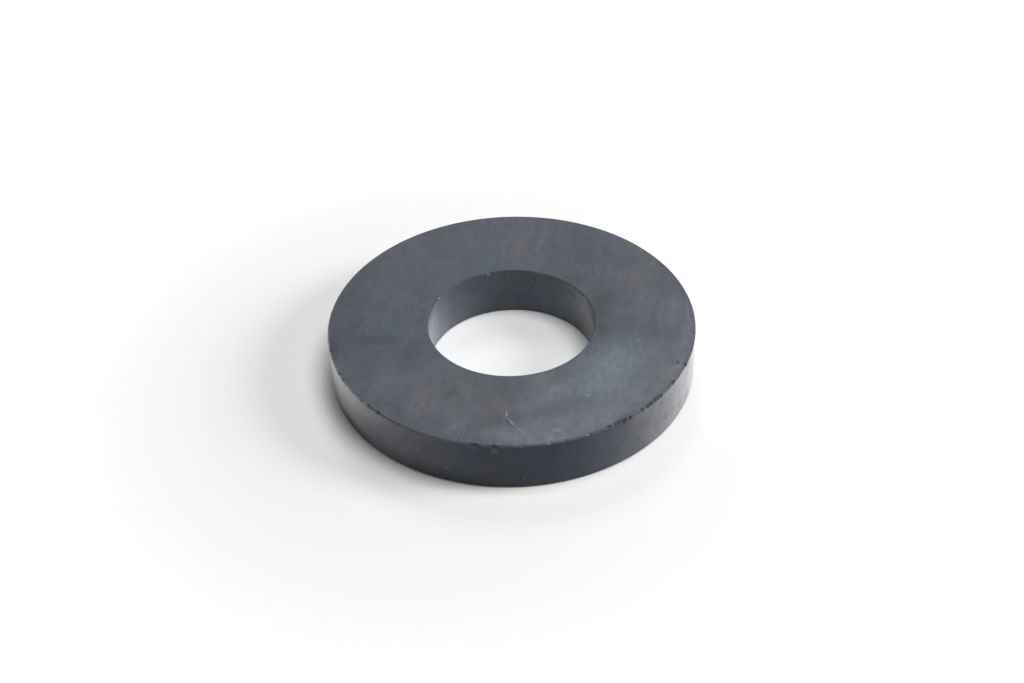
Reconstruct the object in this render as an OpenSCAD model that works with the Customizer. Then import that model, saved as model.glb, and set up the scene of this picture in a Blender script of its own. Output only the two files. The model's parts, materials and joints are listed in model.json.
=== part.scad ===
// Ferrite ring magnet: one pressed and sintered ring with two ground faces and a plain
// bore. All four edges are lightly broken, and flakes have chipped off the upper rim.
// Millimetres, +Z up, origin at the centre of the lower face.

/* [Ring] */
// Outside diameter
outer_d = 70; // [45:1:120]
// Bore diameter
bore_d = 32; // [10:1:38]
// Thickness between the two ground faces
thickness = 10; // [5:0.5:30]

/* [Edges] */
// Bevel of the two outer edges, measured along each face
rim_break = 0.25; // [0.05:0.05:1]
// Bevel of the two bore edges, measured along each face
bore_break = 0.2; // [0.05:0.05:1]

/* [Wear] */
// Size of the chips and pits, as a multiple of the sizes listed for each of them
wear = 1; // [0.5:0.1:1.5]

/* [Hidden] */
outer_r = outer_d / 2;
bore_r = bore_d / 2;
ferrite_grey = [0.38, 0.40, 0.43];
ring_fn = 240;
ball_fn = 32;

// Chips in the upper rim, as [angle round the ring, width along the rim,
// reach across the face, drop down the side]. Angles run from +X towards +Y.
left_chips = [
    [192, 0.92, 0.43, 0.33],
    [203.5, 0.84, 0.37, 0.32],
    [206.5, 0.78, 0.33, 0.31],
    [218, 0.92, 0.37, 0.42],
    [221.6, 1.1, 0.43, 0.37],
    [225.6, 1.2, 0.44, 0.38]
];
front_flakes = [
    [258, 2.3, 0.42, 0.97],
    [264, 1.52, 0.38, 1.13],
    [272, 0.94, 0.33, 0.41],
    [280, 1.2, 0.37, 0.34],
    [284.4, 0.94, 0.42, 0.33]
];
right_chips = [
    [291.6, 0.92, 0.41, 0.33],
    [298.4, 0.84, 0.53, 0.33],
    [300.6, 0.94, 0.57, 0.34],
    [301.9, 0.86, 0.63, 0.33],
    [303.3, 0.74, 0.43, 0.68],
    [304.1, 0.82, 0.57, 0.36],
    [305.7, 1.14, 0.38, 0.52],
    [310.7, 0.96, 0.43, 0.36],
    [313, 1.12, 0.47, 0.43],
    [314.6, 0.86, 0.53, 0.33],
    [316.4, 1.12, 0.63, 0.34],
    [317.8, 1.04, 0.58, 0.36],
    [319.2, 0.98, 0.54, 0.43],
    [326.6, 1.32, 0.53, 0.38],
    [335.7, 0.98, 0.53, 0.44],
    [343, 1.12, 0.38, 0.36],
    [351.2, 0.96, 0.42, 0.44]
];

// Pits that run together into one short gouge in the upper face, as
// [angle round the ring, distance in from the rim, width of the mouth, depth]
gouge_pits = [
    [334.9, 1.73, 0.46, 0.18],
    [335.4, 1.68, 0.54, 0.22],
    [335.9, 1.62, 0.44, 0.16]
];

// How far a ball's centre stands off a surface for the ball to cut a mouth of the given
// half width there and to bite the given depth past it
function ball_offset(half, bite) = (half * half - bite * bite) / (2 * bite);

// Half section of the ring, with a bevel at each of its four corners
module section() {
    polygon([
        [bore_r, bore_break],
        [bore_r + bore_break, 0],
        [outer_r - rim_break, 0],
        [outer_r, rim_break],
        [outer_r, thickness - rim_break],
        [outer_r - rim_break, thickness],
        [bore_r + bore_break, thickness],
        [bore_r, thickness - bore_break]
    ]);
}

// The ball that breaks a chip out of the upper rim. It meets the sharp corner over the
// chip's width, and its surface is the hollow that the flake leaves.
module chip(angle, width, reach, drop) {
    half = width / 2;
    out = ball_offset(half, reach);
    up = ball_offset(half, drop);
    rotate([0, 0, angle])
        translate([outer_r + out, 0, thickness + up])
            sphere(r = norm([half, out, up]), $fn = ball_fn);
}

// The ball that sinks a round pit into the upper face
module pit(angle, inset, width, depth) {
    half = width / 2;
    up = ball_offset(half, depth);
    rotate([0, 0, angle])
        translate([outer_r - inset, 0, thickness + up])
            sphere(r = norm([half, up]), $fn = ball_fn);
}

module ring_magnet() {
    color(ferrite_grey)
        difference() {
            rotate_extrude($fn = ring_fn)
                section();
            for (c = concat(left_chips, front_flakes, right_chips))
                chip(c[0], wear * c[1], wear * c[2], wear * c[3]);
            for (p = gouge_pits)
                pit(p[0], p[1], wear * p[2], wear * p[3]);
        }
}

ring_magnet();
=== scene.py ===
import json
import math
import random

import bmesh
import bpy
from mathutils import Matrix, Vector, noise


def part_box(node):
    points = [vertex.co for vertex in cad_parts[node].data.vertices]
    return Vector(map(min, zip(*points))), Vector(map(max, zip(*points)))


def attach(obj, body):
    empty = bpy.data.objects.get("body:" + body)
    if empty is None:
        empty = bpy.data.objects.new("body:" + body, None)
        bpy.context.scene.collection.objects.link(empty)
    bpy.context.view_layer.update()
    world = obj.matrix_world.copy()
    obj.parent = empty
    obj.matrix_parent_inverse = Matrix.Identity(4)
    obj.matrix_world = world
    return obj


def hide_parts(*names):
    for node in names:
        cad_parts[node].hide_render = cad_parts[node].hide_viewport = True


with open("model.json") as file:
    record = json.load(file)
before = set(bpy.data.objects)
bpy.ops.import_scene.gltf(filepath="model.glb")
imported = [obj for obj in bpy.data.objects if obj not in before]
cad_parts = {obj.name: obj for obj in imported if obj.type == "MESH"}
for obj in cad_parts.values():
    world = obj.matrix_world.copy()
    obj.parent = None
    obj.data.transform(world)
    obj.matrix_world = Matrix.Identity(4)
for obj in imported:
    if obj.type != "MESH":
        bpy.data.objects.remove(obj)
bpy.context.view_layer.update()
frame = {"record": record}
mm = 0.001

ringLow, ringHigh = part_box("ring_magnet")
boreMount = next(m for m in frame["record"]["mounts"] if m["name"] == "bore")
ring = {
    "outer": (ringHigh.x - ringLow.x) / 2,       # outside radius
    "bore": boreMount["dims"]["r_mm"] * mm,      # bore radius
    "base": ringLow.z,
    "top": ringHigh.z,
    "rimBreak": 0.25 * mm,                       # bevel of the two outer edges
    "boreBreak": 0.2 * mm,                       # bevel of the two bore edges
}

cameraPlace = {
    "distance": 304.83 * mm,   # from the centre of the ring's base
    "elevation": 40.0,         # degrees above the table
    "tiltUp": 0.711,           # degrees above the ring's base
    "roll": -1.798,            # degrees about the line of sight
    "lens": 54.99,             # in mm, as is the sensor's width
    "sensor": 36,
}


def addCamera(place):
    lift = math.radians(place["elevation"])
    spot = Vector((0, -math.cos(lift), math.sin(lift))) * place["distance"]
    aim = (-spot).to_track_quat("-Z", "Y").to_matrix()
    aim = aim @ Matrix.Rotation(math.radians(place["tiltUp"]), 3, "X")
    aim = aim @ Matrix.Rotation(math.radians(place["roll"]), 3, "Z")
    camera = bpy.data.objects.new("camera", bpy.data.cameras.new("camera"))
    camera.matrix_world = Matrix.Translation(spot) @ aim.to_4x4()
    camera.data.lens = place["lens"]
    camera.data.sensor_width = place["sensor"]
    camera.data.clip_start = 0.01
    bpy.context.scene.collection.objects.link(camera)
    bpy.context.scene.camera = camera


addCamera(cameraPlace)
print("camera placed")

ringForm = {
    "columns": 1440,           # steps round the ring
    "fineIn": 2.1 * mm,        # band of small faces on the upper face, in from the rim
    "fineDown": 1.4 * mm,      # and down the side
    "fineStep": 0.13 * mm,
    "boreIn": 0.5 * mm,        # band of small faces round the bore
    "coarseStep": 4 * mm,
    "sharpAngle": 28,          # degrees, past which an edge stays crisp
    "breakRough": 0.3,         # how uneven a broken-out surface is, as a share of its ball's radius
    "flakeRough": 0.12,        # and a shallow flake
}
lumpSize = 0.25 * mm           # size of the unevenness in a broken-out surface

# chips in the upper rim: angle round the ring, width, reach across the face, drop down the side,
# the angle in degrees and the rest in mm, as in the lists that follow
rimChips = [
    (192, 0.92, 0.43, 0.33),
    (203.5, 0.84, 0.37, 0.32),
    (206.5, 0.78, 0.33, 0.31),
    (221.6, 1.1, 0.43, 0.37),
    (225.6, 1.2, 0.44, 0.38),
    (298.4, 0.84, 0.53, 0.33),
    (300.6, 0.94, 0.57, 0.34),
    (301.9, 0.86, 0.63, 0.33),
    (303.3, 0.74, 0.43, 0.68),
    (304.1, 0.82, 0.57, 0.36),
    (305.7, 1.14, 0.38, 0.52),
    (310.7, 0.96, 0.43, 0.36),
    (313, 1.12, 0.47, 0.43),
    (314.6, 0.86, 0.53, 0.33),
    (316.4, 1.12, 0.63, 0.34),
    (317.8, 1.04, 0.58, 0.36),
    (319.2, 0.98, 0.54, 0.43),
    (326.6, 1.32, 0.53, 0.38),
    (335.7, 0.98, 0.53, 0.44),
    (343, 1.12, 0.38, 0.36),
    (351.2, 0.96, 0.42, 0.44),
]
# shallow flakes that keep the tone round them
rimFlakes = [
    (258, 2.3, 0.42, 0.97),
    (264, 1.52, 0.38, 1.13),
]
# chips with a paler surface
paleChips = [
    (218, 0.92, 0.37, 0.42),
    (272, 0.94, 0.33, 0.41),
    (280, 1.2, 0.37, 0.34),
    (284.4, 0.94, 0.42, 0.33),
    (291.6, 0.92, 0.41, 0.33),
]
# pits in the upper face: angle, distance in from the rim, width, depth
gougePits = [
    (334.9, 1.73, 0.46, 0.18),
    (335.4, 1.68, 0.54, 0.22),
    (335.9, 1.62, 0.44, 0.16),
]
# nicks in the bore's upper edge, given as the rim's chips are
boreChips = [
    (105.5, 0.8, 0.25, 0.3),
    (150, 0.9, 0.3, 0.35),
    (56, 0.7, 0.2, 0.3),
]
crumbleSeed = 7
# crumbled edge: from and to which angle, how many nibs, their least and greatest width, finish
crumbles = [
    (0, 360, 90, 0.3, 0.6, "wornEdge"),
    (196, 230, 14, 0.3, 0.7, "wornEdge"),
    (276, 295, 14, 0.25, 0.55, "paleBreak"),
    (295, 307, 16, 0.3, 0.65, "darkBreak"),
    (310, 321, 12, 0.3, 0.65, "darkBreak"),
    (322, 352, 14, 0.3, 0.65, "darkBreak"),
    (294, 308, 16, 0.25, 0.42, "paleBreak"),
    (308, 324, 12, 0.25, 0.4, "paleBreak"),
]

finishes = ["groundFace", "firedWall", "boreWall", "wornEdge", "paintedSheenEdge", "darkBreak", "paleBreak"]
# stretches of bevel with a finish of their own, in degrees: the others are ground like the faces
paintedSheenRim = (184, 222)       # painted sheen: its bright colour stands in for the pale surroundings reflected in the bevel at the left
wornRim = (222, 258)
wornLip = (330, 75)            # at the bore, across 0


def stations(size, form):
    # section of the ring, round from the bore: radius, height and the longest step to the next
    outer, bore, base, top = size["outer"], size["bore"], size["base"], size["top"]
    rim, lip = size["rimBreak"], size["boreBreak"]
    fine, coarse = form["fineStep"], form["coarseStep"]
    return [
        (bore, base + lip, coarse),
        (bore, top - lip - form["boreIn"], fine),
        (bore, top - lip, fine),
        (bore + lip, top, fine),
        (bore + lip + form["boreIn"], top, coarse),
        (outer - rim - form["fineIn"], top, fine),
        (outer - rim, top, fine),
        (outer, top - rim, fine),
        (outer, top - rim - form["fineDown"], coarse),
        (outer, base + rim, coarse),
        (outer - rim, base, coarse),
        (bore + lip, base, coarse),
    ]


def addSection(bm, size, form):
    points = stations(size, form)
    corners = [bm.verts.new((radius, 0, height)) for radius, height, _ in points]
    sides = [bm.edges.new(pair) for pair in zip(corners, corners[1:] + corners[:1])]
    for side, (_, _, step) in zip(sides, points):
        cuts = math.ceil(side.calc_length() / step) - 1
        if cuts > 0:
            bmesh.ops.subdivide_edges(bm, edges=[side], cuts=cuts)


def sweepRound(bm, form):
    # spins an eighth of the ring, then doubles it three times, which is quicker than a full spin
    sector = math.tau / 8
    bmesh.ops.spin(bm, geom=bm.verts[:] + bm.edges[:], cent=(0, 0, 0), axis=(0, 0, 1),
                   angle=sector, steps=form["columns"] // 8)
    for turn in (sector, 2 * sector, 4 * sector):
        copy = bmesh.ops.duplicate(bm, geom=bm.verts[:] + bm.edges[:] + bm.faces[:])["geom"]
        copied = [item for item in copy if isinstance(item, bmesh.types.BMVert)]
        bmesh.ops.rotate(bm, verts=copied, cent=(0, 0, 0), matrix=Matrix.Rotation(turn, 3, "Z"))
    bmesh.ops.remove_doubles(bm, verts=bm.verts, dist=0.001 * mm)
    bmesh.ops.recalc_face_normals(bm, faces=bm.faces)


def faceFinish(face, size):
    centre = face.calc_center_median()
    radius = centre.xy.length
    hair = 0.01 * mm
    if centre.z > size["top"] - hair or centre.z < size["base"] + hair:
        return finishes.index("groundFace")
    if radius > size["outer"] - hair:
        return finishes.index("firedWall")
    if radius < size["bore"] + hair:
        return finishes.index("boreWall")
    # what is left is bevel, and noise frays the ends of its stretches
    angle = math.degrees(math.atan2(centre.y, centre.x)) % 360 + 5 * noise.noise(centre / (2 * mm))
    if radius < size["bore"] + size["boreBreak"]:
        worn = angle > wornLip[0] or angle < wornLip[1]
    elif paintedSheenRim[0] < angle < paintedSheenRim[1]:
        return finishes.index("paintedSheenEdge")
    else:
        worn = wornRim[0] <= angle < wornRim[1]
    return finishes.index("wornEdge" if worn else "groundFace")


def sortByAngle(bm, size):
    # vertices near the upper face, by whole degree round the ring
    deepest = size["top"] - 2 * mm
    sectors = [[] for _ in range(360)]
    for vert in bm.verts:
        if vert.co.z > deepest:
            sectors[int(math.degrees(math.atan2(vert.co.y, vert.co.x))) % 360].append(vert)
    return sectors


def ballOffset(half, bite):
    # from a surface out to the centre of the ball that takes a bite of this half width and depth
    return (half * half - bite * bite) / (2 * bite)


def cutBall(sectors, angle, centreR, centreZ, radius, inward, roughness):
    # pushes what lies inside a ball back onto its far side, as a broken-out flake leaves it
    turn = Matrix.Rotation(math.radians(angle), 3, "Z")
    centre = turn @ Vector((centreR, 0, centreZ))
    push = turn @ inward
    span = math.ceil(math.degrees(radius / centreR)) + 1
    moved = set()
    for degree in range(int(angle) - span, int(angle) + span + 1):
        for vert in sectors[degree % 360]:
            offset = vert.co - centre
            if offset.length_squared > (radius * 1.3) ** 2:
                continue
            rough = radius * (1 + roughness * noise.noise(vert.co / lumpSize))
            inside = rough * rough - offset.length_squared
            if inside > 0:
                along = offset.dot(push)
                vert.co += push * (math.sqrt(along * along + inside) - along)
                moved.add(vert)
    return moved


def chipEdge(sectors, size, chips, roughness, atBore=False):
    # a ball that takes the given width, reach and drop out of the upper outer or bore edge
    side = -1 if atBore else 1
    corner = size["bore"] if atBore else size["outer"]
    inward = Vector((-side, 0, -1)).normalized()
    moved = set()
    for angle, width, reach, drop in chips:
        half = width * mm / 2
        out = ballOffset(half, reach * mm)
        up = ballOffset(half, drop * mm)
        radius = math.sqrt(half * half + out * out + up * up)
        moved |= cutBall(sectors, angle, corner + side * out, size["top"] + up, radius,
                         inward, roughness)
    return moved


def pitFace(sectors, size, pits, roughness):
    moved = set()
    for angle, inset, width, depth in pits:
        half = width * mm / 2
        up = ballOffset(half, depth * mm)
        moved |= cutBall(sectors, angle, size["outer"] - inset * mm, size["top"] + up,
                         math.hypot(half, up), Vector((0, 0, -1)), roughness)
    return moved


def crumbleNibs(draw, start, stop, count, least, greatest):
    nibs = []
    for _ in range(count):
        width = draw.uniform(least, greatest)
        reach = width * draw.uniform(0.3, 0.46)
        drop = width * draw.uniform(0.3, 0.46)
        nibs.append((draw.uniform(start, stop), width, reach, drop))
    return nibs


def paintMoved(moved, finish):
    index = finishes.index(finish)
    for face in {face for vert in moved for face in vert.link_faces}:
        if sum(vert in moved for vert in face.verts) >= 3:
            face.material_index = index


def addRing(size, form):
    bm = bmesh.new()
    addSection(bm, size, form)
    sweepRound(bm, form)
    for face in bm.faces:
        face.material_index = faceFinish(face, size)
    sectors = sortByAngle(bm, size)
    rough, flakeRough = form["breakRough"], form["flakeRough"]
    draw = random.Random(crumbleSeed)
    for *stretch, finish in crumbles:
        paintMoved(chipEdge(sectors, size, crumbleNibs(draw, *stretch), rough), finish)
    paintMoved(chipEdge(sectors, size, rimChips, rough), "darkBreak")
    paintMoved(pitFace(sectors, size, gougePits, rough), "darkBreak")
    chipEdge(sectors, size, rimFlakes, flakeRough)
    paintMoved(chipEdge(sectors, size, paleChips, rough), "paleBreak")
    paintMoved(chipEdge(sectors, size, boreChips, flakeRough, atBore=True), "paleBreak")
    for face in bm.faces:
        face.smooth = True
    for edge in bm.edges:
        edge.smooth = edge.calc_face_angle(0) < math.radians(form["sharpAngle"])
    mesh = bpy.data.meshes.new("ringMagnet")
    bm.to_mesh(mesh)
    bm.free()
    piece = bpy.data.objects.new("ringMagnet", mesh)
    bpy.context.scene.collection.objects.link(piece)
    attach(piece, "root")
    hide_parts("ring_magnet")
    return piece


magnet = addRing(ring, ringForm)
print("ring modelled:", len(magnet.data.polygons), "faces")

# colours of the ferrite, as linear red, green and blue
steelBlue = (0.055, 0.068, 0.088)
slate = (0.060, 0.066, 0.082)
deepSlate = (0.038, 0.048, 0.061)
duskViolet = (0.028, 0.030, 0.042)
lavender = (0.084, 0.091, 0.119)
mistSteel = (0.102, 0.116, 0.140)
paleSteel = (0.122, 0.146, 0.177)
paleStone = (0.124, 0.131, 0.149)
warmGrey = (0.084, 0.087, 0.095)
umber = (0.040, 0.040, 0.048)
rust = (0.088, 0.084, 0.089)
rose = (0.080, 0.073, 0.084)
olive = (0.056, 0.060, 0.062)
teal = (0.056, 0.072, 0.083)

# clouds on the upper face: x, y, turn in degrees, half length, half width, strength, colour,
# the places and lengths in mm, each cloud laid over those before it
faceClouds = [
    (17, -22, 35, 28, 16, 0.8, mistSteel),
    (-11, -22, -20, 18, 12, 0.75, warmGrey),
    (30, -2, 85, 19, 10, 0.65, lavender),
    (25, 10, 75, 13, 8, 0.5, warmGrey),
    (-33, 1, 90, 18, 6.5, 0.8, deepSlate),
    (-31, 14, 65, 13, 5, 0.5, deepSlate),
    (14, 22, 70, 11, 9, 0.65, deepSlate),
    (3, 21, 90, 13, 8, 0.4, slate),
    (18, -15.5, 50, 15, 9.5, 0.9, paleSteel),
    (8, -21.5, 25, 11, 5, 0.6, paleSteel),
    (3, -32, 5, 13, 5, 0.8, paleSteel),
    (17, -27, 30, 12, 5, 0.8, paleStone),
    (30, -16, 60, 9, 5, 0.7, paleStone),
    (23, -21.5, 45, 7, 4, 0.5, paleStone),
    (7, -33.4, 8, 9, 1.9, 0.85, (0.146, 0.154, 0.168)),
    (6.5, -29, 15, 7.5, 2.2, 0.6, paleStone),
    (15.5, -28, 30, 5, 2.5, 0.5, paleSteel),
    (29.8, -16.5, 60, 6.5, 2.5, 0.6, (0.142, 0.146, 0.156)),
    (31.5, -8, 70, 6, 2.5, 0.5, (0.118, 0.122, 0.132)),
    (26.5, 22, 130, 8, 2.6, 0.5, (0.094, 0.083, 0.080)),
    (-20, 18, 60, 9, 3, 0.4, (0.058, 0.078, 0.092)),
    (-10.4, -27.8, 95, 5.5, 3, 0.5, mistSteel),
    (4.9, -17.6, 60, 5.5, 3, 0.65, (0.130, 0.134, 0.142)),
    (-34, -2, 90, 8, 1.8, 0.8, (0.040, 0.043, 0.052)),
    (27, -3, 80, 8, 1.6, 0.4, slate),
    (31.5, 3, 82, 8, 1.8, 0.5, mistSteel),
    (33.4, -2, 88, 9, 1.8, 0.45, paleStone),
    (-34.3, -6.8, 101, 5, 2.8, 1.0, duskViolet),
    (-19.2, -8, 78, 6, 2.6, 0.75, deepSlate),
    (-24, -16, 60, 7, 4, 0.5, lavender),
    (-22, -24, 135, 8, 2.4, 0.5, deepSlate),
    (-3.5, -24.5, 0, 3.6, 2.4, 0.9, rust),
    (-11.2, -20.6, 80, 3, 1.7, 0.75, umber),
    (-2.5, -18.6, 0, 7, 2.8, 0.8, olive),
    (-4, -28.6, 0, 6, 1.8, 0.6, olive),
    (-18, -25, 60, 4.5, 2.6, 0.5, rose),
    (17.4, 5, 80, 9, 4, 0.8, umber),
    (17, -4, 95, 4, 1.8, 0.7, umber),
    (12.8, 12.8, 135, 6, 2.2, 0.45, umber),
    (27.5, 14, 65, 7, 4, 0.55, rust),
    (30.6, 16.8, 60, 2.4, 1.5, 0.95, umber),
    (31.8, 11.2, 70, 4, 2, 0.5, (0.105, 0.103, 0.110)),
    (23.4, 18.2, 10, 3.6, 2.4, 0.7, olive),
    (12, 33, 170, 5, 1.8, 0.5, olive),
    (-8, 32.5, 15, 6, 2, 0.5, olive),
    (3, 26, 80, 4.4, 3, 0.75, rose),
    (1, 33, 0, 5, 2, 0.5, rose),
    (6.6, 25, 84, 12, 1.3, 0.65, lavender),
    (9.6, 25, 84, 9, 0.9, 0.6, deepSlate),
    (-19, 20, 60, 11, 5, 0.5, steelBlue),
    (-17.3, 2, 80, 8, 1.1, 0.55, deepSlate),
]
# finer marks on it, given in the same way
faceMarks = [
    (16.6, 2, 92, 8, 1.6, 0.6, umber),
    (11.2, 12.6, 132, 3.4, 1.4, 0.35, umber),
    (28.2, -20, 55, 3, 0.6, 0.35, (0.046, 0.043, 0.046)),
    (31.9, -13.4, 66, 3.6, 0.6, 0.3, (0.050, 0.047, 0.049)),
    (19.4, -28.2, 34, 2.2, 0.8, 0.45, (0.048, 0.045, 0.048)),
    (9, -24.5, 21, 7.8, 2.4, 0.8, (0.078, 0.090, 0.105)),
    (5.4, -26.1, 10, 3.2, 1.6, 0.55, (0.070, 0.080, 0.091)),
    # painted shadow: a dark line along the scratch, as is the one at (-1.0, -28.9) beside it
    (-0.2, -29.4, 124, 2.4, 0.3, 0.4, (0.050, 0.058, 0.070)),
    (-26, -4.6, 177, 7, 2.1, 0.75, (0.036, 0.043, 0.051)),
    (-29.2, 0.6, 70, 3.4, 1.0, 0.7, (0.036, 0.043, 0.053)),
    (12.5, 24, 83, 6, 0.35, 0.4, deepSlate),
    (-6.5, 29, 78, 4, 0.3, 0.45, umber),
    # painted shadow beside the scratch
    (-1.0, -28.9, 122, 1.8, 0.35, 0.7, deepSlate),
    (-1.42, -26.6, 96, 0.7, 0.2, 0.8, (0.34, 0.34, 0.31)),
    (-0.6, -28.7, 119, 1.6, 0.22, 0.7, (0.22, 0.24, 0.26)),
    (0.9, -30.9, 128, 1.9, 0.22, 0.6, (0.20, 0.22, 0.24)),
    (7.4, -31.2, 10, 1.2, 0.7, 0.35, (0.24, 0.26, 0.28)),
    (13.4, -22.2, 20, 0.9, 0.4, 0.4, (0.22, 0.23, 0.23)),
    (23.6, -7.2, 40, 0.6, 0.25, 0.5, (0.24, 0.26, 0.29)),
]

wallBlack = (0.028, 0.034, 0.046)
wallBlue = (0.018, 0.027, 0.047)
# pale grey for scuffs and pinholes, and for painted light on two flakes
scuffAndLightGrey = (0.105, 0.110, 0.118)

# clouds on the outer wall: angle, height above the base, half width, half height, strength, colour
wallClouds = [
    (281, 6, 8, 5, 0.8, wallBlue),
    (252, 8, 5, 3, 0.4, wallBlue),
    (296, 7, 1.4, 1.8, 0.6, (0.036, 0.048, 0.046)),
    (304.5, 5.8, 3, 0.9, 0.6, (0.052, 0.042, 0.046)),
    (307, 8.5, 3.5, 2, 0.4, (0.062, 0.054, 0.050)),
    (298, 5.5, 1.4, 2.6, 0.5, (0.030, 0.045, 0.052)),
    (289, 3, 4, 2, 0.5, (0.022, 0.024, 0.042)),
    (292.5, 2, 4, 1.4, 0.4, (0.024, 0.036, 0.038)),
    (267, 3, 14, 3.6, 0.6, (0.017, 0.019, 0.023)),
    (262, 6.5, 6, 2, 0.4, (0.021, 0.022, 0.026)),
    (243, 1.8, 3, 1.3, 0.5, (0.040, 0.034, 0.044)),
    (231, 2.4, 4, 1.4, 0.3, (0.040, 0.036, 0.036)),
    (206, 6, 4, 2, 0.4, (0.036, 0.044, 0.056)),
    (237.2, 6.0, 1.8, 0.8, 0.35, scuffAndLightGrey),
    (240.5, 5.9, 1.5, 0.9, 0.4, scuffAndLightGrey),
    (320, 4.5, 2, 1.6, 0.3, (0.020, 0.022, 0.026)),
    (326.5, 7.5, 1.3, 2, 0.3, (0.020, 0.022, 0.026)),
]
# finer marks, scuffs and bright specks on it; the pale smudges on the flakes are painted light, and the
# specks under the chipped rim are painted glints
wallMarks = [
    (249.2, 3.3, 1.2, 0.5, 0.55, scuffAndLightGrey),
    (245.6, 3.9, 0.8, 0.5, 0.35, scuffAndLightGrey),
    (248.6, 4.1, 0.9, 0.25, 0.6, (0.016, 0.017, 0.02)),
    # painted light: these three pale smudges on the flakes near 258 and 264 stand in for the light their
    # upturned broken faces catch
    (256.6, 9.2, 1.0, 0.5, 0.5, scuffAndLightGrey),
    (258.2, 9.0, 0.8, 0.8, 0.5, scuffAndLightGrey),
    (264, 8.9, 1.0, 0.8, 0.7, scuffAndLightGrey),
    (238.2, 4.0, 0.4, 1.3, 0.35, scuffAndLightGrey),
    (272.5, 2.2, 0.2, 0.35, 0.8, (0.17, 0.18, 0.21)),
    (331.5, 2.3, 0.45, 0.25, 0.9, (0.008, 0.008, 0.01)),
    # painted glints: bright specks just under the chipped rim, where its ridges catch the light
    (318.4, 9.0, 0.35, 0.25, 0.5, (0.26, 0.27, 0.29)),
    (320.5, 9.3, 0.35, 0.2, 0.5, (0.26, 0.27, 0.29)),
    (322, 9.2, 0.4, 0.2, 0.4, (0.26, 0.27, 0.29)),
    (312.6, 9.2, 0.5, 0.2, 0.5, (0.22, 0.23, 0.25)),
    (327.5, 9.4, 0.6, 0.2, 0.5, (0.26, 0.27, 0.29)),
    (299.6, 9.3, 0.5, 0.2, 0.5, (0.20, 0.21, 0.23)),
]
# places on it where the shine is taken down, darkening the wall: angle, height, half width, half height,
# strength. The wide low ones on the left, at 209 and 224, stand in for the floor's shadow seen in the wall
# near its foot, and the one at 337.5 for the shade under the nick above it: painted shade
wallDullAndShade = [
    (224, 4.5, 8, 5, 0.3),
    (209, 1.0, 15, 2.4, 0.65),
    (322, 3.9, 1.8, 1.6, 0.4),
    (319, 8, 1.2, 1.2, 0.2),
    (323.5, 7.4, 1.4, 1.4, 0.15),
    (331.2, 2.8, 1.2, 0.6, 0.6),
    (337.5, 8.8, 1.0, 1.2, 0.5),
    (338, 1.6, 3, 1.0, 0.35),
    (304.5, 5.4, 1.8, 0.8, 0.4),
    (304, 8.8, 2.4, 1.0, 0.35),
    (216, 6, 1.4, 2, 0.2),
]
# the same three on the wall of the bore; its two places where the shine is taken down, low at 24 and high
# at 150, stand in for the floor's shade seen in the bore wall: painted shade
boreClouds = [
    (39, 7.5, 1.2, 0.8, 0.7, (0.035, 0.036, 0.04)),
    (95, 5.5, 4, 2, 0.4, (0.085, 0.095, 0.11)),
]
# painted shade: both take the shine down where the floor's shade shows in the bore wall
boreShadeDull = [(24, 3.5, 12, 3.2, 0.35), (150, 8.5, 8, 1.5, 0.25)]
boreMarks = [
    (92, 9.0, 0.25, 0.25, 0.9, (0.22, 0.24, 0.26)),
    (105.5, 9.6, 0.4, 0.25, 0.9, (0.34, 0.36, 0.38)),
    (44, 7, 0.9, 0.35, 0.5, (0.16, 0.16, 0.17)),
]


def newMaterial(name):
    material = bpy.data.materials.new(name)
    material.use_nodes = True
    return material, material.node_tree


def newGroup(name, inputs, outputs):
    tree = bpy.data.node_groups.new(name, "ShaderNodeTree")
    for label, kind, value in inputs:
        socket = tree.interface.new_socket(label, in_out="INPUT", socket_type=kind)
        socket.default_value = value
    for label, kind in outputs:
        tree.interface.new_socket(label, in_out="OUTPUT", socket_type=kind)
    return tree, tree.nodes.new("NodeGroupInput").outputs, tree.nodes.new("NodeGroupOutput").inputs


def feed(tree, socket, value):
    # a socket takes either another node's output or a plain value
    if isinstance(value, bpy.types.NodeSocket):
        tree.links.new(value, socket)
    else:
        socket.default_value = value


def addNode(tree, kind, values=None, **settings):
    node = tree.nodes.new(kind)
    for setting, value in settings.items():
        setattr(node, setting, value)
    for socket, value in (values or {}).items():
        feed(tree, node.inputs[socket], value)
    return node


def addMath(tree, operation, a, b=0.0):
    return addNode(tree, "ShaderNodeMath", {0: a, 1: b}, operation=operation).outputs[0]


def addNoise(tree, vector, size, detail=3.0, roughness=0.5, warp=0.0):
    # size is the width of one patch of the noise, in metres
    values = {"Vector": vector, "Scale": 1 / size, "Detail": detail, "Roughness": roughness,
              "Distortion": warp}
    return addNode(tree, "ShaderNodeTexNoise", values).outputs["Fac"]


def addRamp(tree, value, start, stop):
    # 0 up to start, 1 past stop, smooth between; start may be the greater
    values = {"Value": value, "From Min": start, "From Max": stop}
    return addNode(tree, "ShaderNodeMapRange", values, interpolation_type="SMOOTHSTEP",
                   clamp=False).outputs[0]


def addMix(tree, factor, a, b, blend="MIX"):
    node = addNode(tree, "ShaderNodeMix", data_type="RGBA", blend_type=blend, clamp_factor=True)
    feed(tree, node.inputs["Factor"], factor)
    for socket, value in ((node.inputs[6], a), (node.inputs[7], b)):
        feed(tree, socket, value if isinstance(value, bpy.types.NodeSocket) else (*value, 1))
    return node.outputs[2]


def placeGroup(tree, group, values):
    node = addNode(tree, "ShaderNodeGroup", node_tree=group)
    for socket, value in values.items():
        feed(tree, node.inputs[socket], value)
    return node.outputs


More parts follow.
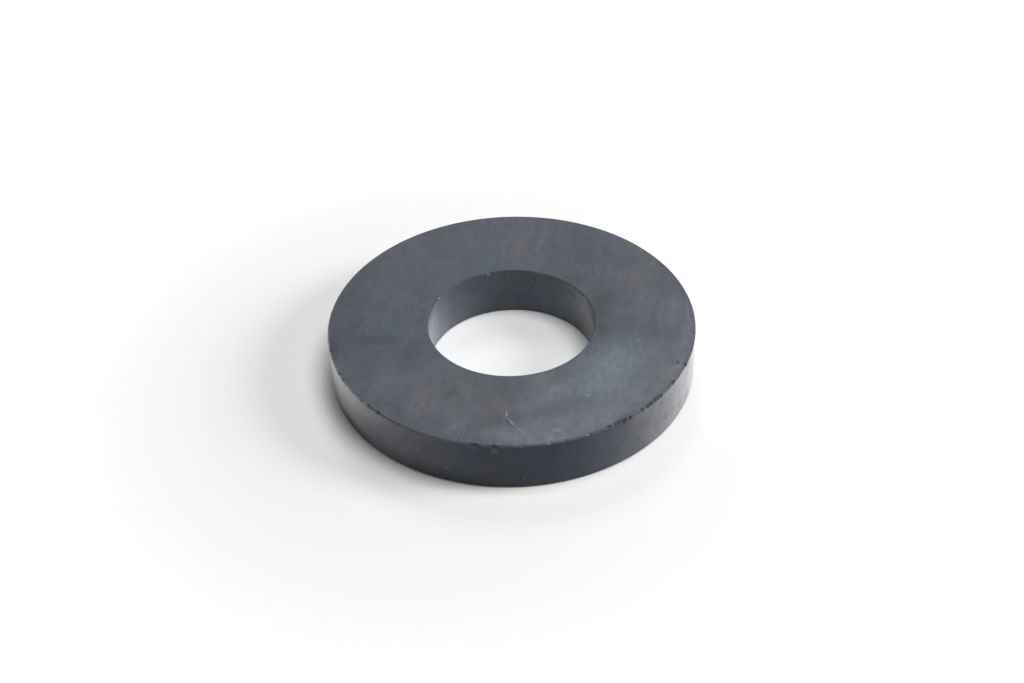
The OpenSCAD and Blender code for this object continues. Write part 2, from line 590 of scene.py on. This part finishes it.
def softPatchGroup():
    # a soft-edged ellipse, laid down at a centre with a turn and half sizes
    tree, given, result = newGroup("softPatch", [
        ("Vector", "NodeSocketVector", (0, 0, 0)),
        ("Centre", "NodeSocketVector", (0, 0, 0)),
        ("Turn", "NodeSocketVector", (0, 0, 0)),
        ("Size", "NodeSocketVector", (1, 1, 1)),
        ("Edge", "NodeSocketFloat", 0.0),      # share of the patch that is full, before it fades
    ], [("Mask", "NodeSocketFloat")])
    local = addNode(tree, "ShaderNodeMapping", {
        "Vector": given["Vector"], "Location": given["Centre"], "Rotation": given["Turn"],
        "Scale": given["Size"]}, vector_type="TEXTURE")
    reach = addNode(tree, "ShaderNodeVectorMath", {0: local.outputs[0]}, operation="LENGTH")
    tree.links.new(addRamp(tree, reach.outputs["Value"], 1.0, given["Edge"]), result["Mask"])
    return tree


def mottleGroup():
    # slow uneven tone and tint, as on fired and ground ceramic
    tree, given, result = newGroup("mottle", [
        ("Vector", "NodeSocketVector", (0, 0, 0)),
        ("Size", "NodeSocketFloat", 6 * mm),
        ("Contrast", "NodeSocketFloat", 1.0),
    ], [("Tone", "NodeSocketFloat"), ("Tint", "NodeSocketFloat")])
    scale = addMath(tree, "DIVIDE", 1.0, given["Size"])
    for label, seed, detail, stretch in (("Tone", 0.0, 5.0, 1.0), ("Tint", 3.7, 3.0, 0.7)):
        moved = addNode(tree, "ShaderNodeVectorMath", {0: given["Vector"], 1: (seed, seed, seed)},
                        operation="ADD").outputs[0]
        cloud = addNode(tree, "ShaderNodeTexNoise", {
            "Vector": moved, "Scale": addMath(tree, "MULTIPLY", scale, stretch),
            "Detail": detail, "Roughness": 0.55, "Distortion": 0.4}).outputs["Fac"]
        centred = addMath(tree, "SUBTRACT", cloud, 0.5)
        spread = addMath(tree, "MULTIPLY", centred, given["Contrast"])
        tree.links.new(addMath(tree, "ADD", spread, 0.5), result[label])
    return tree


def sinterGrainGroup():
    # fine grain of pressed and fired powder: a tone near 1, and a height
    tree, given, result = newGroup("sinterGrain", [
        ("Vector", "NodeSocketVector", (0, 0, 0)),
        ("Size", "NodeSocketFloat", 0.3 * mm),
        ("Strength", "NodeSocketFloat", 0.1),
    ], [("Tone", "NodeSocketFloat"), ("Height", "NodeSocketFloat")])
    scale = addMath(tree, "DIVIDE", 1.0, given["Size"])
    fine = addNode(tree, "ShaderNodeTexNoise", {
        "Vector": given["Vector"], "Scale": scale, "Detail": 4.0, "Roughness": 0.65}).outputs["Fac"]
    centred = addMath(tree, "SUBTRACT", fine, 0.5)
    tone = addMath(tree, "ADD", addMath(tree, "MULTIPLY", centred, given["Strength"]), 1.0)
    tree.links.new(tone, result["Tone"])
    tree.links.new(fine, result["Height"])
    return tree


def pinholeGroup():
    # scattered pinholes: only some cells of the pattern hold one
    tree, given, result = newGroup("pinholes", [
        ("Vector", "NodeSocketVector", (0, 0, 0)),
        ("Spacing", "NodeSocketFloat", 2 * mm),
        ("Width", "NodeSocketFloat", 0.08),    # as a share of the spacing
        ("Share", "NodeSocketFloat", 0.3),     # of the cells that hold a pinhole
    ], [("Mask", "NodeSocketFloat")])
    cells = addNode(tree, "ShaderNodeTexVoronoi", {
        "Vector": given["Vector"], "Scale": addMath(tree, "DIVIDE", 1.0, given["Spacing"])})
    lucky = addNode(tree, "ShaderNodeSeparateColor", {"Color": cells.outputs["Color"]}).outputs[0]
    chosen = addMath(tree, "LESS_THAN", lucky, given["Share"])
    fade = addRamp(tree, cells.outputs["Distance"], given["Width"], 0.0)
    tree.links.new(addMath(tree, "MULTIPLY", fade, chosen), result["Mask"])
    return tree


def edgeWearGroup(size):
    # 1 at the ring's four edges, patchily down to 0 at the given reach
    tree, given, result = newGroup("edgeWear", [
        ("Vector", "NodeSocketVector", (0, 0, 0)),
        ("Reach", "NodeSocketFloat", 0.6 * mm),
        ("Patchiness", "NodeSocketFloat", 0.6),
    ], [("Mask", "NodeSocketFloat")])
    parts = addNode(tree, "ShaderNodeSeparateXYZ", {0: given["Vector"]}).outputs
    squares = [addMath(tree, "MULTIPLY", part, part) for part in parts[:2]]
    radius = addMath(tree, "SQRT", addMath(tree, "ADD", *squares))
    gaps = []
    for value, near, far in ((radius, size["outer"], size["bore"]), (parts[2], size["top"], size["base"])):
        toNear = addMath(tree, "ABSOLUTE", addMath(tree, "SUBTRACT", value, near))
        toFar = addMath(tree, "ABSOLUTE", addMath(tree, "SUBTRACT", value, far))
        gap = addMath(tree, "MINIMUM", toNear, toFar)
        gaps.append(addMath(tree, "MULTIPLY", gap, gap))
    distance = addMath(tree, "SQRT", addMath(tree, "ADD", *gaps))
    share = addMath(tree, "DIVIDE", distance, given["Reach"])
    patches = addMath(tree, "SUBTRACT", addNoise(tree, given["Vector"], 0.9 * mm, 4.0, 0.6), 0.5)
    uneven = addMath(tree, "MULTIPLY", patches, addMath(tree, "MULTIPLY", given["Patchiness"], 4.0))
    closeness = addMath(tree, "SUBTRACT", 1.0, addMath(tree, "ADD", share, uneven))
    tree.links.new(addRamp(tree, closeness, 0.0, 0.6), result["Mask"])
    return tree


softPatch = softPatchGroup()
mottle = mottleGroup()
sinterGrain = sinterGrainGroup()
pinholes = pinholeGroup()
edgeWear = edgeWearGroup(ring)


def objectVector(tree):
    return addNode(tree, "ShaderNodeTexCoord").outputs["Object"]


def wander(tree, vector, size, reach):
    # shifts a pattern's place by noise, so that its outline is uneven
    cloud = addNode(tree, "ShaderNodeTexNoise", {"Vector": vector, "Scale": 1 / size, "Detail": 4.0})
    centred = addNode(tree, "ShaderNodeVectorMath", {0: cloud.outputs["Color"], 1: (0.5, 0.5, 0.5)},
                      operation="SUBTRACT").outputs[0]
    shift = addNode(tree, "ShaderNodeVectorMath", {0: centred, "Scale": 2 * reach}, operation="SCALE")
    moved = addNode(tree, "ShaderNodeVectorMath", {0: vector, 1: shift.outputs[0]}, operation="ADD")
    return moved.outputs[0]


def facePatch(tree, vector, edge, x, y, turn, halfLength, halfWidth, strength):
    mask = placeGroup(tree, softPatch, {
        "Vector": vector, "Centre": (x * mm, y * mm, ring["top"]), "Turn": (0, 0, math.radians(turn)),
        "Size": (halfLength * mm, halfWidth * mm, 4 * mm), "Edge": edge})["Mask"]
    return addMath(tree, "MULTIPLY", mask, strength)


def sidePatch(tree, vector, edge, radius, angle, height, halfWidth, halfHeight, strength):
    turn = math.radians(angle)
    centre = (radius * math.cos(turn), radius * math.sin(turn), height * mm)
    mask = placeGroup(tree, softPatch, {
        "Vector": vector, "Centre": centre, "Turn": (0, 0, turn + math.pi / 2),
        "Size": (halfWidth * mm, 3 * mm, halfHeight * mm), "Edge": edge})["Mask"]
    return addMath(tree, "MULTIPLY", mask, strength)


def scaleColour(tree, colour, tone):
    grey = addNode(tree, "ShaderNodeCombineColor", {0: tone, 1: tone, 2: tone}).outputs[0]
    return addMix(tree, 1.0, colour, grey, "MULTIPLY")


def addBump(tree, height, depth):
    return addNode(tree, "ShaderNodeBump", {"Height": height, "Distance": depth}).outputs[0]


groundFinish = {
    "base": steelBlue, "shade": slate,
    "cloudEdge": 0.1,          # share of a cloud that is full, and of a mark
    "markEdge": 0.3,
    "rose": 0.5,               # strength of the two tints that mottle it
    "teal": 0.4,
    "lines": 1.4,              # of the grinding lines
    "holes": 0.6,              # of the pinholes
    "wear": 0.35,              # and of the wear at the edges
    "roughness": 0.40,
    "specular": 0.14,
}


def groundFaceMaterial(finish, clouds, marks):
    material, tree = newMaterial("groundFace")
    shader = tree.nodes["Principled BSDF"]
    place = objectVector(tree)
    loose = wander(tree, place, 5 * mm, 2.2 * mm)
    slow = placeGroup(tree, mottle, {"Vector": place, "Size": 7 * mm, "Contrast": 1.0})
    blotch = placeGroup(tree, mottle, {"Vector": place, "Size": 2.2 * mm, "Contrast": 1.0})
    # grinding left faint lines, nearly straight across the face
    lines = addNode(tree, "ShaderNodeMapping", {
        "Vector": loose, "Rotation": (0, 0, math.radians(-10)), "Scale": (1, 9, 1)},
        vector_type="TEXTURE").outputs[0]
    streak = addNoise(tree, lines, 1.2 * mm, 4.0, 0.6, 0.6)
    grain = placeGroup(tree, sinterGrain, {"Vector": place, "Size": 0.35 * mm, "Strength": 0.22})
    holes = placeGroup(tree, pinholes, {"Vector": place, "Spacing": 2.4 * mm, "Width": 0.07,
                                        "Share": 0.35})["Mask"]
    wear = placeGroup(tree, edgeWear, {"Vector": place, "Reach": 0.7 * mm, "Patchiness": 0.7})["Mask"]

    colour = addMix(tree, addRamp(tree, slow["Tint"], 0.35, 0.65), finish["base"], finish["shade"])
    for *cloud, tint in clouds:
        colour = addMix(tree, facePatch(tree, loose, finish["cloudEdge"], *cloud), colour, tint)
    warm = addMath(tree, "MULTIPLY", addRamp(tree, blotch["Tint"], 0.45, 0.8), finish["rose"])
    colour = addMix(tree, warm, colour, rose)
    cool = addMath(tree, "MULTIPLY", addRamp(tree, blotch["Tint"], 0.55, 0.2), finish["teal"])
    colour = addMix(tree, cool, colour, teal)
    tone = addMath(tree, "ADD", addMath(tree, "MULTIPLY", slow["Tone"], 0.5), 0.75)
    tone = addMath(tree, "MULTIPLY", tone,
                   addMath(tree, "ADD", addMath(tree, "MULTIPLY", blotch["Tone"], 0.4), 0.8))
    lined = addMath(tree, "MULTIPLY", addMath(tree, "SUBTRACT", streak, 0.5),
                    addMath(tree, "MULTIPLY", slow["Tone"], finish["lines"]))
    tone = addMath(tree, "MULTIPLY", tone, addMath(tree, "ADD", lined, 1.0))
    tone = addMath(tree, "MULTIPLY", tone, grain["Tone"])
    colour = scaleColour(tree, colour, tone)
    near = wander(tree, place, 1.2 * mm, 0.25 * mm)
    for *mark, tint in marks:
        colour = addMix(tree, facePatch(tree, near, finish["markEdge"], *mark), colour, tint)
    colour = addMix(tree, addMath(tree, "MULTIPLY", holes, finish["holes"]), colour, duskViolet)
    colour = addMix(tree, addMath(tree, "MULTIPLY", wear, finish["wear"]), colour, slate)
    tree.links.new(colour, shader.inputs["Base Color"])
    shader.inputs["Specular IOR Level"].default_value = finish["specular"]

    rough = addMath(tree, "ADD", addMath(tree, "MULTIPLY", blotch["Tone"], 0.16), finish["roughness"])
    tree.links.new(rough, shader.inputs["Roughness"])
    height = addMath(tree, "ADD", addMath(tree, "MULTIPLY", grain["Height"], 0.5), streak)
    height = addMath(tree, "SUBTRACT", height, addMath(tree, "MULTIPLY", holes, 2.0))
    tree.links.new(addBump(tree, height, 0.008 * mm), shader.inputs["Normal"])
    return material


wallFinish = {
    "radius": ring["outer"],
    "base": wallBlack, "shade": wallBlue,
    "cloudEdge": 0.1, "markEdge": 0.2,
    "holes": 0.4,              # strength of the pinholes
    "wear": 0.35,              # and of the wear at the edges
    "glaze": 1.0,              # weight of the shine that shows at a slant
    "roughness": 0.17,
    "specular": 0.34,
}
boreFinish = {
    **wallFinish,
    "radius": ring["bore"],
    "base": (0.077, 0.088, 0.105), "shade": (0.060, 0.075, 0.099),
    "glaze": 0.5,
    "roughness": 0.20,
    "specular": 0.5,
}


def firedWallMaterial(name, finish, clouds, marks, dullAndShade):
    material, tree = newMaterial(name)
    shader = tree.nodes["Principled BSDF"]
    place = objectVector(tree)
    loose = wander(tree, place, 2 * mm, 0.8 * mm)
    slow = placeGroup(tree, mottle, {"Vector": place, "Size": 5 * mm, "Contrast": 1.0})
    grain = placeGroup(tree, sinterGrain, {"Vector": place, "Size": 0.4 * mm, "Strength": 0.25})
    holes = placeGroup(tree, pinholes, {"Vector": place, "Spacing": 2.6 * mm, "Width": 0.06,
                                        "Share": 0.3})["Mask"]
    wear = placeGroup(tree, edgeWear, {"Vector": place, "Reach": 0.5 * mm, "Patchiness": 0.8})["Mask"]
    # pressing and ejecting leave faint upright marks
    rise = addNode(tree, "ShaderNodeMapping", {"Vector": place, "Scale": (1, 1, 0.12)}).outputs[0]
    upright = addNoise(tree, rise, 1.1 * mm, 3.0, 0.5)

    colour = addMix(tree, addRamp(tree, slow["Tint"], 0.35, 0.65), finish["base"], finish["shade"])
    for *cloud, tint in clouds:
        mask = sidePatch(tree, loose, finish["cloudEdge"], finish["radius"], *cloud)
        colour = addMix(tree, mask, colour, tint)
    tone = addMath(tree, "ADD", addMath(tree, "MULTIPLY", slow["Tone"], 0.6), 0.7)
    tone = addMath(tree, "MULTIPLY", tone,
                   addMath(tree, "ADD", addMath(tree, "MULTIPLY", upright, 0.3), 0.85))
    tone = addMath(tree, "MULTIPLY", tone, grain["Tone"])
    colour = scaleColour(tree, colour, tone)
    near = wander(tree, place, 0.9 * mm, 0.3 * mm)
    for *mark, tint in marks:
        mask = sidePatch(tree, near, finish["markEdge"], finish["radius"], *mark)
        colour = addMix(tree, mask, colour, tint)
    colour = addMix(tree, addMath(tree, "MULTIPLY", holes, finish["holes"]), colour, scuffAndLightGrey)
    colour = addMix(tree, addMath(tree, "MULTIPLY", wear, finish["wear"]), colour, deepSlate)
    tree.links.new(colour, shader.inputs["Base Color"])
    shader.inputs["Specular IOR Level"].default_value = finish["specular"]
    shader.inputs["Specular Tint"].default_value = (0.90, 0.95, 1.0, 1)
    # the fired skin shines most where it is seen at a slant
    slant = addNode(tree, "ShaderNodeLayerWeight").outputs["Facing"]
    glaze = addMath(tree, "MULTIPLY", addRamp(tree, slant, 0.22, 0.75), finish["glaze"])
    uneven = placeGroup(tree, mottle, {"Vector": place, "Size": 2.6 * mm, "Contrast": 1.0})["Tone"]
    uneven = addMath(tree, "ADD", addMath(tree, "MULTIPLY", uneven, 0.9), 0.55)
    glaze = addMath(tree, "MULTIPLY", glaze, uneven)
    # taking down the shine, which at some of these places is painted shade
    for spot in dullAndShade:
        mask = sidePatch(tree, loose, finish["cloudEdge"], finish["radius"], *spot)
        glaze = addMath(tree, "MULTIPLY", glaze, addMath(tree, "SUBTRACT", 1.0, mask))
    tree.links.new(glaze, shader.inputs["Coat Weight"])
    shader.inputs["Coat IOR"].default_value = 2.0
    shader.inputs["Coat Roughness"].default_value = 0.2

    rough = addMath(tree, "ADD", addMath(tree, "MULTIPLY", slow["Tone"], 0.1), finish["roughness"])
    rough = addMath(tree, "ADD", rough, addMath(tree, "MULTIPLY", wear, 0.25))
    tree.links.new(rough, shader.inputs["Roughness"])
    height = addMath(tree, "ADD", addMath(tree, "MULTIPLY", grain["Height"], 0.5), upright)
    height = addMath(tree, "SUBTRACT", height, addMath(tree, "MULTIPLY", holes, 1.5))
    tree.links.new(addBump(tree, height, 0.01 * mm), shader.inputs["Normal"])
    return material


# edges and broken-out places: darker and lighter tone, roughness, size of the grain
brokenFinishes = {
    "wornEdge": ((0.085, 0.092, 0.104), (0.15, 0.155, 0.165), 0.7, 0.35 * mm),
    "darkBreak": ((0.034, 0.038, 0.046), (0.14, 0.15, 0.165), 0.6, 0.3 * mm),
    "paleBreak": ((0.12, 0.128, 0.142), (0.24, 0.25, 0.27), 0.6, 0.3 * mm),
    # the bright bevel at the left: a painted sheen, its pale colour standing in for the surroundings
    # reflected in it
    "paintedSheenEdge": ((0.20, 0.207, 0.22), (0.40, 0.41, 0.43), 0.35, 0.4 * mm),
}


def brokenMaterial(name, dark, light, roughness, grainSize):
    # where the skin is gone: the grain shows, dark with some bright crystals
    material, tree = newMaterial(name)
    shader = tree.nodes["Principled BSDF"]
    place = objectVector(tree)
    blotch = placeGroup(tree, mottle, {"Vector": place, "Size": 0.9 * mm, "Contrast": 1.6})
    grain = placeGroup(tree, sinterGrain, {"Vector": place, "Size": grainSize, "Strength": 0.5})
    colour = addMix(tree, addRamp(tree, blotch["Tone"], 0.5, 0.8), dark, light)
    tree.links.new(scaleColour(tree, colour, grain["Tone"]), shader.inputs["Base Color"])
    shader.inputs["Specular IOR Level"].default_value = 0.2
    shader.inputs["Roughness"].default_value = roughness
    tree.links.new(addBump(tree, grain["Height"], 0.06 * mm), shader.inputs["Normal"])
    return material


ringMaterials = {
    "groundFace": groundFaceMaterial(groundFinish, faceClouds, faceMarks),
    "firedWall": firedWallMaterial("firedWall", wallFinish, wallClouds, wallMarks, wallDullAndShade),
    "boreWall": firedWallMaterial("boreWall", boreFinish, boreClouds, boreMarks, boreShadeDull),
}
for name, values in brokenFinishes.items():
    ringMaterials[name] = brokenMaterial(name, *values)
for finish in finishes:
    magnet.data.materials.append(ringMaterials[finish])
print("materials laid on:", ", ".join(finishes))

stageLook = {
    "floorHalf": 3,            # half the floor's width, in metres
    "floor": 0.8,              # how much of the light the floor sends back
    "floorLift": 0.06,         # added where the floor is looked at, to keep it pale
    "farLift": 0.9,            # and added past the object's shadow
    "farFrom": 45 * mm,
    "farTo": 190 * mm,
    "ambient": 0.0,            # light from all round
    "sky": 1.0,                # white that the camera and reflections meet past the floor
}


def seenDirectly(tree, strength):
    # strength for rays from the camera, a reflection or a clear body, and nothing for others
    path = addNode(tree, "ShaderNodeLightPath").outputs
    either = addMath(tree, "MAXIMUM", path["Is Camera Ray"], path["Is Glossy Ray"])
    anyOf = addMath(tree, "MAXIMUM", either, path["Is Transmission Ray"])
    return addMath(tree, "MULTIPLY", anyOf, strength)


def addFloor(look):
    bm = bmesh.new()
    bmesh.ops.create_grid(bm, x_segments=1, y_segments=1, size=look["floorHalf"])
    mesh = bpy.data.meshes.new("floor")
    bm.to_mesh(mesh)
    bm.free()
    floor = bpy.data.objects.new("floor", mesh)
    bpy.context.scene.collection.objects.link(floor)
    floor.location.z = ring["base"]
    material, tree = newMaterial("paleFloor")
    tree.nodes.remove(tree.nodes["Principled BSDF"])
    diffuse = addNode(tree, "ShaderNodeBsdfDiffuse", {"Color": (*[look["floor"]] * 3, 1)})
    place = objectVector(tree)
    reach = addNode(tree, "ShaderNodeVectorMath", {0: place}, operation="LENGTH").outputs["Value"]
    far = addMath(tree, "MULTIPLY", addRamp(tree, reach, look["farFrom"], look["farTo"]), look["farLift"])
    glow = seenDirectly(tree, addMath(tree, "ADD", far, look["floorLift"]))
    lift = addNode(tree, "ShaderNodeEmission", {"Strength": glow})
    both = addNode(tree, "ShaderNodeAddShader", {0: diffuse.outputs[0], 1: lift.outputs[0]})
    tree.links.new(both.outputs[0], tree.nodes["Material Output"].inputs["Surface"])
    mesh.materials.append(material)


def addWorld(look):
    world = bpy.data.worlds.new("studio")
    world.use_nodes = True
    bpy.context.scene.world = world
    tree = world.node_tree
    ambient = tree.nodes["Background"]
    ambient.inputs["Color"].default_value = (1, 1, 1, 1)
    ambient.inputs["Strength"].default_value = look["ambient"]
    sky = addNode(tree, "ShaderNodeBackground", {"Color": (1, 1, 1, 1), "Strength": look["sky"]})
    mix = addNode(tree, "ShaderNodeMixShader", {
        0: seenDirectly(tree, 1.0), 1: ambient.outputs[0], 2: sky.outputs[0]})
    tree.links.new(mix.outputs[0], tree.nodes["World Output"].inputs["Surface"])


lamps = {
    # azimuth (0 is +X, 90 is +Y), elevation, distance and width in metres, watts
    "sideKey": (0, 30, 0.8, 0.3, 3.8),
    "sideHigh": (0, 75, 0.8, 0.4, 3.7),
    "back": (90, 45, 0.8, 0.3, 1.35),
    "overhead": (90, 88, 0.8, 0.4, 1.0),
}


def addLamp(name, azimuth, elevation, distance, size, watts):
    around, above = math.radians(azimuth), math.radians(elevation)
    level = math.cos(above)
    spot = Vector((math.cos(around) * level, math.sin(around) * level, math.sin(above))) * distance
    light = bpy.data.lights.new(name, "AREA")
    light.shape = "DISK"
    light.size = size
    light.energy = watts
    lamp = bpy.data.objects.new(name, light)
    lamp.rotation_mode = "QUATERNION"
    lamp.location = spot
    lamp.rotation_quaternion = (-spot).to_track_quat("-Z", "Y")
    bpy.context.scene.collection.objects.link(lamp)


addFloor(stageLook)
addWorld(stageLook)
for name, values in lamps.items():
    addLamp(name, *values)
bpy.context.scene.view_settings.view_transform = "Standard"
print("stage and lamps set")
